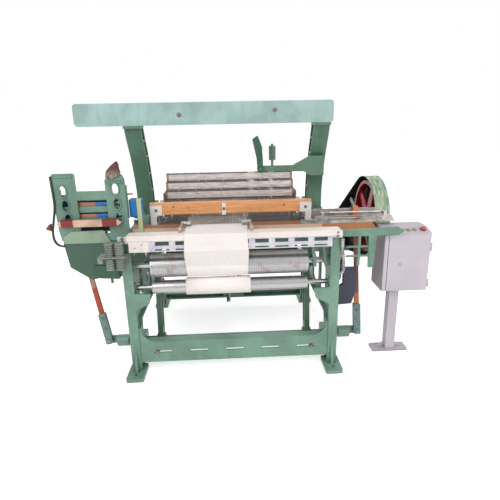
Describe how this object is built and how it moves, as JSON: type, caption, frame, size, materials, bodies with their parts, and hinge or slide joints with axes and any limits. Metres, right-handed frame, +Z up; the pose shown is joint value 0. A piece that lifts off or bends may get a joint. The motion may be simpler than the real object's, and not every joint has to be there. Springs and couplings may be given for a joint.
{
  "type": "power loom",
  "caption": "Cast-iron shuttle power loom with swinging lay, drop box, heald frames, take-up and warp beam, belt drive, and a control cabinet on its own stand",
  "frame": {"origin": "On the floor, at the centre of the four foot anchor holes", "axes": "+X to the weaver's right, along the loom; +Y to the back, where the warp beam is; +Z up"},
  "size_m": [2.4118, 1.66, 1.72],
  "materials": {
    "frame_green": "enamel paint, worn at edges",
    "beam_green": "pale green enamel",
    "dark_green": "dark green enamel, oily",
    "steel": "turned steel, oiled",
    "white_sheet": "white painted sheet",
    "wood": "varnished beech",
    "stick_wood": "red-brown wood",
    "red_paint": "red enamel",
    "belt_rubber": "black rubber",
    "aluminium": "mill finish",
    "cloth": "unbleached plain weave",
    "yarn": "parallel warp yarn",
    "cabinet_grey": "textured powder coat",
    "motor_blue": "blue enamel",
    "shuttle_blue": "blue lacquered wood",
    "button_green": "moulded plastic",
    "button_red": "moulded plastic"
  },
  "bodies": {
    "frame": {"side_frame_right": "frame_green", "side_frame_left": "frame_green", "shaft_bushes": "steel", "girders": "frame_green", "breast_beam": "frame_green", "breast_cover": "white_sheet", "arch_legs": "frame_green", "top_beam": "beam_green", "drive_belt": "belt_rubber", "drive_guard": "frame_green", "drive_brackets": "frame_green", "motor": "motor_blue", "studs_and_temples": "steel", "cloth_web": "cloth", "warp_sheet": "yarn", "rear_brackets": "frame_green", "heald_guides": "frame_green", "picking_guard": "frame_green", "buffer_springs": "steel", "control_cabinet": "cabinet_grey"},
    "lay": {"rocking_shaft": "frame_green", "lay_swords": "frame_green", "race_board": "wood", "reed": "steel", "hand_rail": "wood", "rail_posts": "white_sheet", "box_towers": "frame_green", "box_guards": "dark_green", "shuttle_box_right": "steel"},
    "shuttle_cells": {"drop_box": "steel", "shuttles": "shuttle_blue"},
    "left_stick": {"picking_stick_left": "stick_wood"},
    "right_stick": {"picking_stick_right": "stick_wood"},
    "crank": {"crankshaft": "steel", "drive_wheel": "red_paint"},
    "left_arm": {"crank_arm_left": "frame_green"},
    "right_arm": {"crank_arm_right": "frame_green"},
    "cam_shaft": {"bottom_shaft": "steel", "bottom_gear": "steel"},
    "pulley": {"motor_pulley": "steel"},
    "sand": {"sand_roller": "steel"},
    "change": {"change_gear": "dark_green"},
    "pawl": {"take_up_pawl": "steel"},
    "cloth_wind": {"cloth_roller": "steel", "cloth_roll": "cloth"},
    "warp": {"warp_beam": "dark_green", "warp_yarn": "yarn"},
    "whip": {"back_rest": "steel"},
    "heald_1": {"heald_frame_1": "aluminium"},
    "heald_2": {"heald_frame_2": "aluminium"},
    "heald_3": {"heald_frame_3": "aluminium"},
    "treadle_a": {"treadle_1": "dark_green"},
    "treadle_b": {"treadle_2": "dark_green"},
    "treadle_c": {"treadle_3": "dark_green"},
    "level_lever": {"levelling_lever": "dark_green"},
    "handle": {"starting_handle": "steel"},
    "door": {"cabinet_door": "cabinet_grey"},
    "push_1": {"button_1": "button_green"},
    "push_2": {"button_2": "button_green"},
    "push_stop": {"stop_button": "button_red"}
  },
  "joints": [
    {"name": "crank_turn", "type": "hinge", "parent": "frame", "child": "crank", "pos_m": [0, 0.21, 0.85], "axis": [1, 0, 0], "continuous": true},
    {"name": "cam_shaft_turn", "type": "hinge", "parent": "frame", "child": "cam_shaft", "pos_m": [0, 0.21, 0.499], "axis": [1, 0, 0], "continuous": true},
    {"name": "motor_turn", "type": "hinge", "parent": "frame", "child": "pulley", "pos_m": [1.091, 0.82, 0.6], "axis": [1, 0, 0], "continuous": true},
    {"name": "left_arm_turn", "type": "hinge", "parent": "crank", "child": "left_arm", "pos_m": [-0.555, 0.26, 0.85], "axis": [1, 0, 0], "continuous": true},
    {"name": "right_arm_turn", "type": "hinge", "parent": "crank", "child": "right_arm", "pos_m": [0.555, 0.26, 0.85], "axis": [1, 0, 0], "continuous": true},
    {"name": "lay_swing", "type": "hinge", "parent": "frame", "child": "lay", "pos_m": [0, -0.32, 0.13], "axis": [1, 0, 0], "range_deg": [0, 9.1]},
    {"name": "cell_lift", "type": "slide", "parent": "lay", "child": "shuttle_cells", "axis": [0, 0, 1], "range_m": [-0.152, 0]},
    {"name": "left_pick", "type": "hinge", "parent": "lay", "child": "left_stick", "pos_m": [-0.876, -0.32, 0.13], "axis": [0, 0.9923, -0.1236], "range_deg": [0, 22], "stiffness_Nm_per_rad": 8, "springref_deg": -20.05},
    {"name": "right_pick", "type": "hinge", "parent": "lay", "child": "right_stick", "pos_m": [0.878, -0.32, 0.13], "axis": [0, 0.9923, -0.1236], "range_deg": [-12.5, 0], "stiffness_Nm_per_rad": 8, "springref_deg": 28.65},
    {"name": "sand_turn", "type": "hinge", "parent": "frame", "child": "sand", "pos_m": [0, -0.455, 0.723], "axis": [1, 0, 0], "continuous": true},
    {"name": "change_turn", "type": "hinge", "parent": "frame", "child": "change", "pos_m": [0.7, -0.36501, 0.61575], "axis": [1, 0, 0], "continuous": true},
    {"name": "pawl_lift", "type": "hinge", "parent": "frame", "child": "pawl", "pos_m": [0.71, -0.27301, 0.66775], "axis": [1, 0, 0], "range_deg": [-25, 0]},
    {"name": "cloth_turn", "type": "hinge", "parent": "frame", "child": "cloth_wind", "pos_m": [0, -0.47, 0.583], "axis": [1, 0, 0], "continuous": true},
    {"name": "warp_turn", "type": "hinge", "parent": "frame", "child": "warp", "pos_m": [0, 0.655, 0.43], "axis": [1, 0, 0], "continuous": true},
    {"name": "whip_turn", "type": "hinge", "parent": "frame", "child": "whip", "pos_m": [0, 0.576, 0.925], "axis": [1, 0, 0], "continuous": true},
    {"name": "heald_1_lift", "type": "slide", "parent": "frame", "child": "heald_1", "axis": [0, 0, 1], "range_m": [0, 0.11]},
    {"name": "heald_2_lift", "type": "slide", "parent": "frame", "child": "heald_2", "axis": [0, 0, 1], "range_m": [-0.055, 0]},
    {"name": "heald_3_lift", "type": "slide", "parent": "frame", "child": "heald_3", "axis": [0, 0, 1], "range_m": [-0.11, 0]},
    {"name": "treadle_1_swing", "type": "hinge", "parent": "frame", "child": "treadle_a", "pos_m": [-0.044, 0.4, 0.215], "axis": [1, 0, 0], "range_deg": [-14.42, 0]},
    {"name": "treadle_2_swing", "type": "hinge", "parent": "frame", "child": "treadle_b", "pos_m": [0, 0.4, 0.215], "axis": [1, 0, 0], "range_deg": [0, 8.18]},
    {"name": "treadle_3_swing", "type": "hinge", "parent": "frame", "child": "treadle_c", "pos_m": [0.044, 0.4, 0.215], "axis": [1, 0, 0], "range_deg": [0, 18.64]},
    {"name": "level_lever_swing", "type": "hinge", "parent": "frame", "child": "level_lever", "pos_m": [0.222, 0.016, 1.262], "axis": [0, 1, 0], "range_deg": [-12, 12]},
    {"name": "handle_swing", "type": "hinge", "parent": "frame", "child": "handle", "pos_m": [0.68, -0.51, 0.756], "axis": [1, 0, 0], "range_deg": [0, 14]},
    {"name": "door_swing", "type": "hinge", "parent": "frame", "child": "door", "pos_m": [1.295, -0.4518, 0.66], "axis": [0, 0, 1], "range_deg": [0, 110]},
    {"name": "push_1_press", "type": "slide", "parent": "frame", "child": "push_1", "axis": [0, -0.3091, 0.951], "range_m": [-0.0045, 0], "stiffness_N_per_m": 300, "springref_m": 0.003},
    {"name": "push_2_press", "type": "slide", "parent": "frame", "child": "push_2", "axis": [0, -0.3091, 0.951], "range_m": [-0.0045, 0], "stiffness_N_per_m": 300, "springref_m": 0.003},
    {"name": "stop_press", "type": "slide", "parent": "frame", "child": "push_stop", "axis": [0, -0.3091, 0.951], "range_m": [-0.0045, 0], "stiffness_N_per_m": 300, "springref_m": 0.004}
  ],
  "couplings": [
    {"joint": "cam_shaft_turn", "follows": "crank_turn", "ratio": -0.5},
    {"joint": "motor_turn", "follows": "crank_turn", "ratio": 4.5},
    {"joint": "left_arm_turn", "follows": "crank_turn", "ratio": -1},
    {"joint": "right_arm_turn", "follows": "crank_turn", "ratio": -1},
    {"joint": "change_turn", "follows": "sand_turn", "ratio": -1.8},
    {"joint": "cloth_turn", "follows": "sand_turn", "ratio": 1.3393},
    {"joint": "warp_turn", "follows": "sand_turn", "ratio": 0.55556},
    {"joint": "whip_turn", "follows": "sand_turn", "ratio": 2.5},
    {"joint": "heald_2_lift", "follows": "heald_1_lift", "ratio": -0.5},
    {"joint": "heald_3_lift", "follows": "heald_1_lift", "ratio": -1},
    {"joint": "treadle_1_swing", "follows": "heald_1_lift", "rad_per_m": -2.2727},
    {"joint": "treadle_2_swing", "follows": "heald_1_lift", "rad_per_m": 1.282},
    {"joint": "treadle_3_swing", "follows": "heald_1_lift", "rad_per_m": 2.9412}
  ]
}
